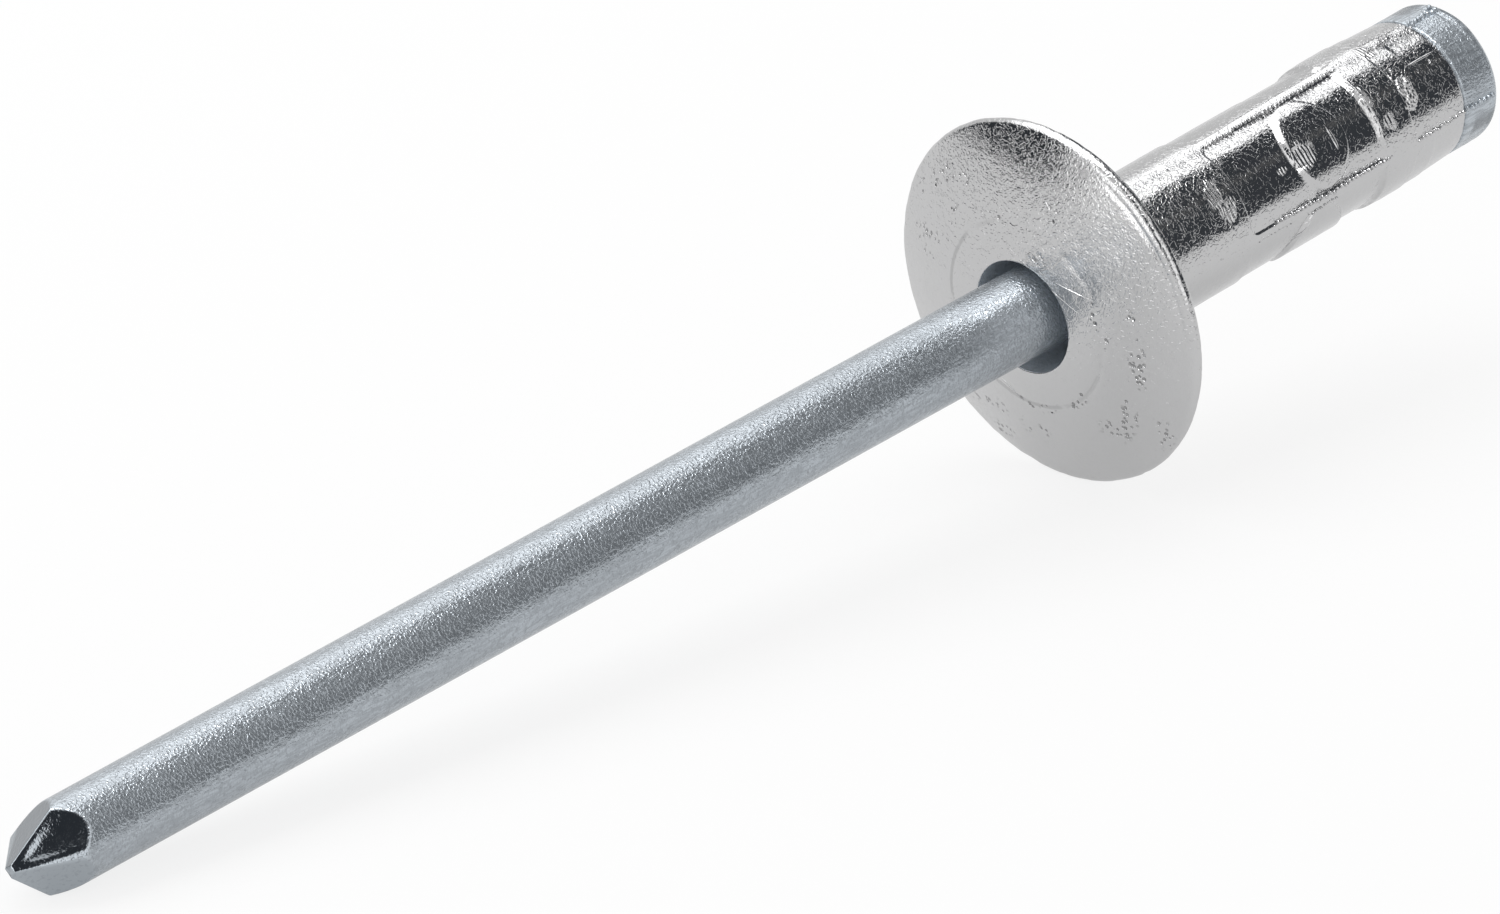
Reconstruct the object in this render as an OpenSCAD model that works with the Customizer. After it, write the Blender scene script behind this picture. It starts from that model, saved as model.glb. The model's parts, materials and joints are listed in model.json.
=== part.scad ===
// Blind rivet with a wide domed flange and a crimped multi-grip shank, not yet set.
// It lies as it comes to rest: on the flange's rim and on the ridge behind the mandrel's point.
// Each piece is drawn along Z with the blind end up, from the flange's seating face at Z = 0.

/* [Rivet body] */
// Diameter of the plain shank, the nominal size of the rivet
shank_d = 3.2; // [3.1:0.02:3.24]
// Length of the tube, from the flange's seating face to the blind end
tube_len = 10.9; // [9:0.1:16]
// Diameter of the bore through the tube
bore_d = 2.3; // [2.26:0.01:2.4]
// Diameter of the bore's mouth in the flange
mouth_d = 2.46; // [2.4:0.01:2.8]
// Depth of the mouth, from the seating face into the tube
mouth_depth = 0.2; // [0.1:0.05:1]
// Length of the cone between the mouth and the bore
mouth_cone = 0.4; // [0.2:0.05:1]

/* [Flange] */
// Diameter of the flange
flange_d = 8; // [6:0.1:12]
// Thickness of the flange at its rounded rim
rim_t = 0.32; // [0.2:0.02:0.5]
// Height of the dome over the seating face, at the axis
dome_h = 1.16; // [0.9:0.02:1.6]
// Radius of the fillet between the seating face and the shank
root_fillet = 0.12; // [0.05:0.01:0.3]
// Diameter of the ring that the heading punch leaves in the dome
ring_d = 4; // [3.2:0.1:5]
// Width of that ring
ring_w = 0.3; // [0.15:0.05:0.5]
// Depth of that ring
ring_depth = 0.03; // [0.01:0.01:0.06]

/* [Crimps] */
// Diameter of the collar between the crimps, and over their pads
collar_d = 3.25; // [3.24:0.01:3.4]
// Diameter where a crimp begins, from where it tapers to the waist
lead_d = 3.14; // [3.12:0.01:3.2]
// Diameter in the crimped waist behind the pads
waist_d = 3.09; // [3.02:0.01:3.12]
// Diameter of the tube at its blind end
end_d = 3.08; // [3.02:0.01:3.12]
// Length of the crimp before its pad
lead_len = 1.58; // [1:0.02:2]
// Length over which the tube swells in front of the pads
rise_len = 0.52; // [0.52:0.02:0.7]
// Length of the raised pad in each crimp
pad_len = 1.7; // [1.2:0.02:2]
// Length of the waist between the pads and the collar
waist_len = 0.82; // [0.6:0.02:1]
// Length of the collar between the two rows of crimps
collar_len = 0.94; // [0.5:0.02:1.2]
// Length of the rough shoulder where the second row begins
shoulder_len = 0.62; // [0.3:0.02:0.8]
// Length of the second row behind its shoulder
end_len = 1.05; // [0.9:0.05:1.5]
// Width of each crimping die's face
die_w = 2.1; // [1.7:0.02:2.14]
// Corner radius of the die's face
die_corner = 0.22; // [0.05:0.01:0.3]
// Radius of the two arched ends of a pad
pad_arch = 1.16; // [1.08:0.01:1.3]
// Width of the ridge that rises between two dies
ridge_w = 0.12; // [0.06:0.02:0.2]
// Height of that ridge over the collar
ridge_h = 0.03; // [0.01:0.01:0.06]
// Turn of the crimps about the axis, from the ridges of the mandrel's point
crimp_turn = 5; // [-10:1:10]

/* [Mandrel] */
// Diameter of the mandrel
mandrel_d = 1.82; // [1.6:0.01:1.84]
// Length of the mandrel in front of the flange's dome
mandrel_reach = 29.2; // [24:0.1:40]
// Diameter of the mandrel's head
head_d = 3.08; // [2.9:0.01:3.1]
// Length of the head behind the tube
head_len = 1.1; // [0.9:0.05:1.6]
// Radius of the rounded edge at the back of the head
head_round = 0.24; // [0.1:0.01:0.6]
// Bevel at the front edge of the head
head_bevel = 0.05; // [0.02:0.01:0.1]
// Distance from the head's seat to the middle of the break neck
neck_back = 1.1; // [0.8:0.05:1.6]
// Diameter at the bottom of the break neck
neck_d = 1.2; // [0.9:0.02:1.4]
// Width of the break neck's notch
neck_w = 0.5; // [0.3:0.02:0.8]
// Angle of each pressed facet of the point to the mandrel's axis
tip_angle = 28; // [22:0.5:38]
// Width across the blunt end of the point
tip_blunt = 0.2; // [0.1:0.02:0.4]
// Lean of the mandrel in the play of the bore
mandrel_lean = 1.4; // [0:0.1:1.4]
// Distance from the seating face to the place where the mandrel crosses the tube's axis
lean_at = 1.8; // [1:0.1:5]

/* [Hidden] */

// How finely the preview draws round surfaces, and how far a cut runs past what it cuts
$fn = 96;
past = 0.5;

flange_r = flange_d / 2;
shank_r = shank_d / 2;
mandrel_r = mandrel_d / 2;
head_r = head_d / 2;

// Rounded rim, and the dome that runs into it without a break
rim_r = rim_t / 2;
rim_at = flange_r - rim_r;
dome_rise = dome_h - rim_r;
dome_r = (rim_at * rim_at + dome_rise * dome_rise - rim_r * rim_r) / (2 * (dome_rise - rim_r));
dome_edge = rim_at * dome_r / (dome_r - rim_r);

// Height of the dome over the seating face at a distance from the axis
function dome_at(r) = sqrt(dome_r * dome_r - r * r) - dome_r + dome_h;

// How far the corners of the tube's profile stay clear of the dies' edges
corner_gap = 0.1;

// Places along the tube, counted back from its blind end
end_at = tube_len - end_len;
shoulder_at = end_at - shoulder_len;
collar_at = shoulder_at - collar_len;
waist_at = collar_at - waist_len;
pad_at = waist_at - pad_len;
lead_at = pad_at - lead_len;

// Play left around the mandrel where the crimps close the bore on it
grip_play = 0.02;

// Where the ridges are rooted, halfway into the crimped wall
ridge_root = (bore_d + waist_d) / 4;

tip_at = -(dome_h + mandrel_reach);
tip_half = tip_blunt / 2;

// Resting place. The mandrel's ridge and the flange's rim both touch Z = 0.
// A point of the leaning mandrel is [height, sideways], sideways being up when the rivet lies.
function leaned(z, up) = [
    lean_at + (z - lean_at) * cos(mandrel_lean) + up * sin(mandrel_lean),
    up * cos(mandrel_lean) - (z - lean_at) * sin(mandrel_lean)
];
ridge_end = tip_at + (mandrel_r * cos(45) - tip_half) / tan(tip_angle);
ridge_foot = leaned(ridge_end, -mandrel_r);
rim_mid = [-rim_r, -rim_at];
foot_span = norm(rim_mid - ridge_foot);
rest_tilt = asin((ridge_foot[1] - rim_mid[1]) / foot_span) + asin(rim_r / foot_span);
rest_up = -(ridge_foot[0] * sin(rest_tilt) + ridge_foot[1] * cos(rest_tilt));

// Ends of the lying rivet along X, to centre it on the origin
tip_top = leaned(tip_at, tip_half * sqrt(2));
front_x = tip_top[0] * cos(rest_tilt) - tip_top[1] * sin(rest_tilt);
back_x = (tube_len + head_len - head_round) * cos(rest_tilt)
    + (head_r - head_round) * sin(rest_tilt) + head_round;
rest_along = -(front_x + back_x) / 2;

// Lays a piece that is drawn along Z down on the flange's rim and the mandrel's point
module lying() {
    translate([rest_along, 0, rest_up])
        rotate([0, 90 - rest_tilt, 0])
            children();
}

// Leans what runs along the mandrel's axis in the bore
module leaning() {
    translate([0, 0, lean_at])
        rotate([0, mandrel_lean, 0])
            translate([0, 0, -lean_at])
                children();
}

// Half section of the flange: a dome, a full round rim and a flat seating face
module flange_section() {
    difference() {
        union() {
            intersection() {
                translate([0, dome_r - dome_h])
                    circle(dome_r);
                translate([0, -dome_h])
                    square([dome_edge, dome_h - rim_r]);
            }
            translate([rim_at, -rim_r])
                circle(rim_r);
            translate([0, -rim_r])
                square([rim_at, rim_r]);
        }
        punch_ring_section();
    }
}

// The punch's ring is a shallow arc cut in the dome
module punch_ring_section() {
    ring_round = (ring_w * ring_w / 4 + ring_depth * ring_depth) / (2 * ring_depth);
    translate([ring_d / 2, -dome_at(ring_d / 2) - ring_round + ring_depth])
        circle(ring_round);
}

// Half section of the tube between the dies, with the fillet under the flange
module tube_section() {
    polygon([
        [0, -rim_r],
        [shank_r, -rim_r],
        [shank_r, pad_at - corner_gap - rise_len],
        [collar_d / 2, pad_at - corner_gap],
        [collar_d / 2, end_at + corner_gap],
        [lead_d / 2, end_at + end_len / 2],
        [end_d / 2, tube_len],
        [0, tube_len]
    ]);
    difference() {
        square([shank_r + root_fillet, root_fillet]);
        translate([shank_r + root_fillet, root_fillet])
            circle(root_fillet);
    }
}

// Half section of the bore in front of the first crimps, from its mouth in the dome
module front_bore_section() {
    polygon([
        [0, -dome_h - past],
        [mouth_d / 2, -dome_h - past],
        [mouth_d / 2, mouth_depth],
        [bore_d / 2, mouth_depth + mouth_cone],
        [bore_d / 2, waist_at],
        [0, waist_at + waist_len / 2]
    ]);
}

// Half section of the bore between the two rows of crimps
module middle_bore_section() {
    polygon([
        [0, collar_at - waist_len / 2],
        [bore_d / 2, collar_at],
        [bore_d / 2, end_at],
        [0, end_at + end_len / 2]
    ]);
}

// The bore. The crimps close it on the mandrel, in two places where only the mandrel's way is left
module bore() {
    rotate_extrude()
        front_bore_section();
    rotate_extrude()
        middle_bore_section();
    leaning()
        translate([0, 0, -dome_h - past])
            cylinder(r = mandrel_r + grip_play, h = dome_h + tube_len + 2 * past);
}

// Outline that a die prints, seen along its stroke, with rounded corners
module die_face(from, to) {
    side = die_w / 2 - die_corner;
    for (z = [from + die_corner, to - die_corner])
        for (y = [-side, side])
            translate([z, y])
                circle(die_corner);
    translate([from + die_corner, -die_w / 2])
        square([to - from - 2 * die_corner, die_w]);
    translate([from, -side])
        square([to - from, 2 * side]);
}

// Outline of a raised pad, arched towards the flange and towards the blind end
module pad_face() {
    intersection() {
        translate([waist_at - pad_arch, 0])
            circle(pad_arch);
        translate([pad_at + pad_arch, 0])
            circle(pad_arch);
        translate([pad_at, -die_w / 2])
            square([pad_len, die_w]);
    }
}

// Stands an outline up as a bar that reaches out of the tube along X
module die_stroke() {
    rotate([0, -90, 180])
        linear_extrude(height = collar_d)
            children();
}

// What the first row's dies take away: tapering to the waist, and sparing the pad
module long_crimp() {
    difference() {
        intersection() {
            rotate_extrude()
                polygon([
                    [lead_d / 2, lead_at],
                    [waist_d / 2, waist_at - corner_gap],
                    [waist_d / 2, collar_at],
                    [collar_d, collar_at],
                    [collar_d, lead_at]
                ]);
            die_stroke()
                die_face(lead_at, collar_at);
        }
        die_stroke()
            pad_face();
    }
}

// What the second row's dies take away, out to the blind end
module end_crimp() {
    intersection() {
        rotate_extrude()
            polygon([
                [shank_r, shoulder_at],
                [shank_r, end_at],
                [waist_d / 2, end_at + ridge_w],
                [end_d / 2 - ridge_h, tube_len + past],
                [collar_d, tube_len + past],
                [collar_d, shoulder_at]
            ]);
        die_stroke()
            die_face(shoulder_at, tube_len + past + die_corner);
    }
}

// Ridge of metal squeezed up between two dies
module parting_ridge(from, to, top) {
    translate([ridge_root, -ridge_w / 2, from])
        cube([top - ridge_root, ridge_w, to - from]);
}

module rivet_body() {
    color("gainsboro")
        lying()
            difference() {
                union() {
                    rotate_extrude()
                        flange_section();
                    crimped_tube();
                }
                bore();
            }
}

module crimped_tube() {
    difference() {
        rotate_extrude()
            tube_section();
        for (turn = [45 : 90 : 315])
            rotate([0, 0, turn + crimp_turn]) {
                long_crimp();
                end_crimp();
            }
    }
    for (turn = [0 : 90 : 270])
        rotate([0, 0, turn + crimp_turn]) {
            parting_ridge(lead_at, collar_at, collar_d / 2 + ridge_h);
            parting_ridge(shoulder_at, tube_len, end_d / 2 + ridge_h);
        }
}

module mandrel() {
    color("lightslategray")
        lying() {
            rotate_extrude()
                head_section();
            leaning()
                mandrel_shank();
        }
}

// The straight shank with its break neck and point, rooted in the head
module mandrel_shank() {
    difference() {
        translate([0, 0, tip_at])
            cylinder(r = mandrel_r, h = tube_len + head_len / 2 - tip_at);
        rotate_extrude()
            neck_section();
        for (turn = [45 : 90 : 315])
            rotate([0, 0, turn])
                tip_facet();
    }
}

// Half section of the head, bevelled in front and rounded behind
module head_section() {
    flat = head_r - head_round;
    translate([0, tube_len])
        polygon([
            [0, 0],
            [head_r - head_bevel, 0],
            [head_r, head_bevel],
            [head_r, head_len - head_round],
            [0, head_len - head_round]
        ]);
    translate([0, tube_len])
        square([flat, head_len]);
    translate([flat, tube_len + head_len - head_round])
        circle(head_round);
}

// The notch at which the mandrel breaks when the rivet is set
module neck_section() {
    slope = neck_w / (mandrel_d - neck_d);
    outer = mandrel_r + past;
    half_w = (outer - neck_d / 2) * slope;
    translate([0, tube_len - neck_back])
        polygon([[neck_d / 2, 0], [outer, half_w], [outer, -half_w]]);
}

// Metal that one jaw of the pointing die takes off the tip
module tip_facet() {
    facet_len = mandrel_r / sin(tip_angle) + past;
    translate([tip_half, -mandrel_d, tip_at])
        rotate([0, tip_angle, 0])
            translate([0, 0, -past])
                cube([mandrel_d, 2 * mandrel_d, facet_len + past]);
}

rivet_body();
mandrel();
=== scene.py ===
"""Blind rivet with a wide domed flange and a crimped shank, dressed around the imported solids.

Run as a script it builds every piece and the stage. Its operators and its panel
are those of an add-on, so each piece can also be built by itself.
"""

import json
import math
from types import SimpleNamespace

import bpy
import numpy as np
from mathutils import Matrix, Vector


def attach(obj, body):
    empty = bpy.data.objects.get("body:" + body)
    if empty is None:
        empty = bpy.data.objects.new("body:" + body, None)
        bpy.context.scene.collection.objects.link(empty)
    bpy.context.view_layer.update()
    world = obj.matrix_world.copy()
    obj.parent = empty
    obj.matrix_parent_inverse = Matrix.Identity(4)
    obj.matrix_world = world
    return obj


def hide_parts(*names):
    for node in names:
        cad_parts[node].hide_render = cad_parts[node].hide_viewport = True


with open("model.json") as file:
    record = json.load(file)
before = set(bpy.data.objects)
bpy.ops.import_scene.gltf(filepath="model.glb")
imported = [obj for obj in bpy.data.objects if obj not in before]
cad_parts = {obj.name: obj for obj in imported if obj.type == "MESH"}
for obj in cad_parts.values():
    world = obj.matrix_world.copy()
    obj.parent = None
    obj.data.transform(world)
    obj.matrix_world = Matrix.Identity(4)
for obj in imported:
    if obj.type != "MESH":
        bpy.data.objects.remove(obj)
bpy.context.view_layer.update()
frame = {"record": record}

bl_info = {
    "name": "Blind Rivet",
    "version": (1, 0, 0),
    "blender": (4, 5, 0),
    "location": "View3D > Sidebar > Rivet",
    "description": "Builds an unset blind rivet: crimped aluminium body, zinc-plated mandrel and stage",
    "category": "Add Mesh",
}

MM = 0.001
PHOTO_WIDTH = 1500


# ---------------------------------------------------------------- where things lie

def mount(name):
    """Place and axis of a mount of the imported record, in millimetres."""
    found = next(m for m in frame["record"]["mounts"] if m["name"] == name)
    return np.array(found["pos_m"]) / MM, np.array(found["axis"])


SHANK_AT, AXIS = mount("shank")
SEAT_AT, _ = mount("flange_seat")
WIRE_AT, WIRE_AXIS = mount("mandrel_shank")
AXIS = AXIS / np.linalg.norm(AXIS)
WIRE_AXIS = -WIRE_AXIS / np.linalg.norm(WIRE_AXIS)
SIDE = np.array([0.0, 1.0, 0.0])
UP = np.cross(AXIS, SIDE)
WIRE_UP = np.cross(WIRE_AXIS, SIDE)
SEAT = SHANK_AT - AXIS * ((SHANK_AT - SEAT_AT) @ AXIS)


def crossing():
    """Distance from the flange's seat at which the leaning mandrel crosses the tube's axis."""
    lines = np.stack([AXIS, -WIRE_AXIS], 1)
    along, back = np.linalg.lstsq(lines, WIRE_AT - SEAT, rcond=None)[0]
    return along


CROSS_AT = crossing()
CROSS = SEAT + AXIS * CROSS_AT


def tube_point(x, r, turn, drop=0.0):
    """Points at distance x from the seat and r from the tube's axis, turned from +Y towards up."""
    return (
        SEAT
        + x[..., None] * AXIS
        + (r * np.sin(turn) - drop)[..., None] * UP
        + (r * np.cos(turn))[..., None] * SIDE
    )


def wire_point(x, r, turn):
    """The same in the leaning mandrel's own frame."""
    return (
        CROSS
        + (x - CROSS_AT)[..., None] * WIRE_AXIS
        + (r * np.sin(turn))[..., None] * WIRE_UP
        + (r * np.cos(turn))[..., None] * SIDE
    )


# ---------------------------------------------------------------- sizes and colours

def length(label, mm, text):
    """A length that a user may change, stored in metres."""
    return bpy.props.FloatProperty(
        name=label, description=text, default=mm * MM, min=0.0,
        subtype="DISTANCE", unit="LENGTH", precision=6,
    )


def angle(label, degrees, text):
    """An angle that a user may change, stored in radians."""
    return bpy.props.FloatProperty(
        name=label, description=text, default=math.radians(degrees),
        subtype="ANGLE", unit="ROTATION",
    )


def factor(label, value, text, top=1.0):
    """A plain number between nothing and top."""
    return bpy.props.FloatProperty(
        name=label, description=text, default=value, min=0.0, max=top, subtype="FACTOR",
    )


def colour(label, value, text):
    """A linear colour."""
    return bpy.props.FloatVectorProperty(
        name=label, description=text, default=value, size=3, min=0.0, max=1.0, subtype="COLOR",
    )


def millimetres(group):
    """The lengths of a property group in millimetres, and its other values as they are."""
    out = SimpleNamespace()
    for prop in group.bl_rna.properties:
        if prop.identifier in {"rna_type", "name"}:
            continue
        value = getattr(group, prop.identifier)
        is_length = getattr(prop, "subtype", "") == "DISTANCE"
        setattr(out, prop.identifier, value / MM if is_length else value)
    return out


class RivetBodySettings(bpy.types.PropertyGroup):
    """Sizes and finish of the aluminium body."""

    shank_d: length("Shank diameter", 3.2, "Diameter of the plain shank")
    tube_len: length("Tube length", 10.9, "From the flange's seat to the blind end")
    bore_d: length("Bore diameter", 2.3, "Bore through the tube")
    mouth_d: length("Mouth diameter", 2.46, "Bore's mouth in the dome")
    mouth_depth: length("Mouth depth", 0.2, "From the seat into the tube")
    mouth_cone: length("Mouth cone", 0.4, "Cone between the mouth and the bore")
    flange_d: length("Flange diameter", 8.0, "Outside of the flange")
    rim_t: length("Rim thickness", 0.32, "Thickness at the rounded rim")
    dome_h: length("Dome height", 1.16, "Height of the dome at the axis")
    root_fillet: length("Root fillet", 0.12, "Between the seat and the shank")
    ring_d: length("Ring diameter", 4.1, "Mark that the heading punch leaves")
    ring_w: length("Ring width", 0.14, "Width of that mark")
    ring_depth: length("Ring depth", 0.006, "Depth of that mark")
    collar_d: length("Collar diameter", 3.25, "Over the collar and the pads")
    lead_d: length("Lead diameter", 3.14, "Where a crimp begins")
    waist_d: length("Waist diameter", 3.09, "In the waist behind the pads")
    end_d: length("End diameter", 3.08, "At the blind end")
    rise_len: length("Rise length", 0.52, "Swelling in front of the pads")
    die_w: length("Die width", 2.1, "Width of a die's face")
    die_corner: length("Die corner", 0.22, "Corner radius of a die's face")
    pad_arch: length("Pad arch", 1.14, "Radius of a pad's arched ends")
    step_w: length("Step width", 0.05, "Width over which a pressed edge rises")
    tooth_pitch: length("Tooth pitch", 0.12, "Spacing of the teeth along a parting line")
    tooth_size: length("Tooth size", 0.075, "Half the length of one tooth")
    wave: length("Wave", 0.0016, "Unevenness of the cold-headed surface")
    metal: colour("Aluminium", (0.65, 0.65, 0.655), "Colour of the bare aluminium")


class MandrelSettings(bpy.types.PropertyGroup):
    """Sizes and finish of the zinc-plated mandrel."""

    mandrel_d: length("Mandrel diameter", 1.82, "Diameter of the wire")
    reach: length("Reach", 29.2, "Length in front of the dome")
    head_d: length("Head diameter", 3.08, "Diameter of the head")
    head_len: length("Head length", 1.1, "Head behind the tube")
    head_round: length("Head round", 0.24, "Rounded edge at the back")
    head_bevel: length("Head bevel", 0.05, "Bevel at the front edge")
    neck_back: length("Neck distance", 1.1, "From the head's seat to the break neck")
    neck_d: length("Neck diameter", 1.2, "At the bottom of the break neck")
    neck_w: length("Neck width", 0.5, "Width of the break neck's notch")
    tip_angle: angle("Point angle", 28.0, "Pressed facet to the axis")
    tip_blunt: length("Blunt width", 0.2, "Across the blunt end")
    edge_r: length("Edge round", 0.035, "Rounding of the point's edges")
    plating: colour("Zinc", (0.545, 0.592, 0.637), "Colour of the passivated zinc")


class StageSettings(bpy.types.PropertyGroup):
    """Floor, light and camera."""

    azimuth: angle("Azimuth", -47.088, "Camera's bearing around the rivet")
    elevation: angle("Elevation", 22.117, "Camera's height over the floor")
    distance: length("Distance", 421.97, "From the camera to the point it looks at")
    aim_x: bpy.props.FloatProperty(
        name="Aim along X", description="Point that the camera looks at",
        default=-0.0898 * MM, subtype="DISTANCE", unit="LENGTH", precision=6,
    )
    aim_z: length("Aim height", 3.201, "Height of the point that the camera looks at")
    focal_px: factor("Focal length", 21098.5, "Focal length in pixels of the photo", top=1e5)
    floor: colour("Floor", (0.86, 0.86, 0.86), "Colour of the floor")
    softbox: factor("Softbox", 1.23, "Brightness of the softboxes", top=20.0)
    fill: factor("Fill", 0.55, "Brightness of the room's own light", top=4.0)
    room: factor("Room", 0.7, "Brightness of the walls that the metal mirrors", top=4.0)
    shade: factor("Shade", 0.22, "How much of the shadow the white floor keeps")


# ---------------------------------------------------------------- node helpers

class Value:
    """A socket in a shader expression. Operators add Math nodes."""

    def __init__(self, tree, socket):
        self.tree = tree
        self.socket = socket

    def math(self, operation, *others, clamp=False):
        settings = {"operation": operation, "use_clamp": clamp}
        return self.tree.node("ShaderNodeMath", settings, dict(enumerate((self, *others))))

    def __add__(self, other):
        return self.math("ADD", other)

    def __sub__(self, other):
        return self.math("SUBTRACT", other)

    def __rsub__(self, other):
        return self.tree.node("ShaderNodeMath", {"operation": "SUBTRACT"}, {0: other, 1: self})

    def __mul__(self, other):
        return self.math("MULTIPLY", other)

    __radd__ = __add__
    __rmul__ = __mul__

    def out(self, name):
        """Another output of the same node."""
        return Value(self.tree, self.socket.node.outputs[name])


class Tree:
    """A node tree that is filled by one method."""

    def __init__(self, nodes):
        self.nodes = nodes

    def node(self, kind, settings=None, inputs=None):
        """Adds a node. Settings come first, then its sockets' values or links."""
        made = self.nodes.nodes.new(kind)
        for key, value in (settings or {}).items():
            if key == "ramp":
                self.fill_ramp(made.color_ramp, value)
            else:
                setattr(made, key, value)
        for key, value in (inputs or {}).items():
            socket = made.inputs[key]
            if isinstance(value, Value):
                self.nodes.links.new(value.socket, socket)
            else:
                socket.default_value = value
        shown = [s for s in made.outputs if s.enabled]
        return Value(self, shown[0]) if shown else made

    @staticmethod
    def fill_ramp(ramp, stops):
        for spare in list(ramp.elements)[len(stops):]:
            ramp.elements.remove(spare)
        for i, (at, value) in enumerate(stops):
            stop = ramp.elements[i] if i < len(ramp.elements) else ramp.elements.new(at)
            stop.position = at
            stop.color = (value, value, value, 1.0)

    def noise(self, where, size_mm, detail=2.0, rough=0.5, distortion=0.0):
        """Noise whose cells are about size_mm across."""
        return self.node(
            "ShaderNodeTexNoise", {"noise_dimensions": "3D"},
            {"Vector": where, "Scale": 1.0 / (size_mm * MM), "Detail": detail,
             "Roughness": rough, "Distortion": distortion},
        )

    def step(self, value, low, high):
        """Nothing below low, one above high, and smooth between."""
        return self.node(
            "ShaderNodeMapRange", {"interpolation_type": "SMOOTHSTEP"},
            {0: value, 1: low, 2: high, 3: 0.0, 4: 1.0},
        )

    def vector(self, operation, *parts):
        return self.node("ShaderNodeVectorMath", {"operation": operation}, dict(enumerate(parts)))

    def mix_colour(self, mask, dark, light):
        return self.node(
            "ShaderNodeMix", {"data_type": "RGBA"},
            {0: mask, 6: dark, 7: light},
        ).out(2)

    def cells(self, where, size_mm, feature="F1"):
        """Distance to the nearest of points scattered about size_mm apart, in cells."""
        return self.node(
            "ShaderNodeTexVoronoi", {"feature": feature},
            {"Vector": where, "Scale": 1.0 / (size_mm * MM), "Randomness": 1.0},
        )

    def spot(self, where, place, half, turn=0.0, skew=0.0, soft=0.3):
        """One inside a ragged ellipsoid at a place in mm, turned about the axis, then skewed."""
        local = self.node("ShaderNodeMapping", {"vector_type": "TEXTURE"},
                          {"Vector": where, "Location": tuple(v * MM for v in place),
                           "Rotation": (turn, 0.0, 0.0), "Scale": (MM, MM, MM)})
        shape = self.node("ShaderNodeMapping", {"vector_type": "TEXTURE"},
                          {"Vector": local, "Rotation": (0.0, skew, 0.0), "Scale": half})
        return 1 - self.step(self.vector("LENGTH", shape), 1.0 - soft, 1.0 + soft)

    def on_tube(self, where, x, turn, half_x, half_c, skew=0.0, soft=0.3):
        """A spot on the tube at distance x from the seat and at a turn in degrees."""
        a = math.radians(turn)
        place = (x, 1.6 * math.cos(a), 1.6 * math.sin(a))
        return self.spot(where, place, (half_x, 0.6, half_c), a, math.radians(skew), soft)

    def on_face(self, where, right, up, half_r, half_u, turn=0.0, soft=0.4):
        """A spot on the flange's face, placed as seen from the front."""
        return self.spot(where, (-0.6, -right, up), (1.2, half_r, half_u),
                         -math.radians(turn), 0.0, soft)

    def painted(self, name):
        """A mask that the mesh carries at its points."""
        return self.node("ShaderNodeAttribute", {"attribute_name": name}).out("Fac")

    def largest(self, masks):
        out = masks[0]
        for mask in masks[1:]:
            out = out.math("MAXIMUM", mask)
        return out


def metal_material(name):
    """An empty material and its node tree."""
    material = bpy.data.materials.new(name)
    material.use_nodes = True
    material.node_tree.nodes.clear()
    tree = Tree(material.node_tree)
    return material, tree


def along_axis(tree, axis, origin_mm, stretch=1.0):
    """Object coordinates with X turned along the axis, shortened there so that patterns stretch."""
    tilt = math.atan2(axis[2], axis[0])
    where = tree.node("ShaderNodeTexCoord").out("Object")
    moved = tree.node(
        "ShaderNodeMapping", {"vector_type": "TEXTURE"},
        {"Vector": where, "Location": tuple(origin_mm * MM), "Rotation": (0.0, -tilt, 0.0),
         "Scale": (stretch, 1.0, 1.0)},
    )
    return moved


def finish_metal(tree, base, roughness, metallic, height):
    """Principled metal. The height of its fine relief is in millimetres."""
    normal = tree.node("ShaderNodeBump", None, {"Height": height, "Distance": MM, "Strength": 1.0})
    shader = tree.node(
        "ShaderNodeBsdfPrincipled", None,
        {"Base Color": base, "Metallic": metallic, "Roughness": roughness, "Normal": normal},
    )
    tree.node("ShaderNodeOutputMaterial", None, {"Surface": shader})


def rgba(value, scale=1.0):
    return tuple(min(1.0, v * scale) for v in value) + (1.0,)


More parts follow.
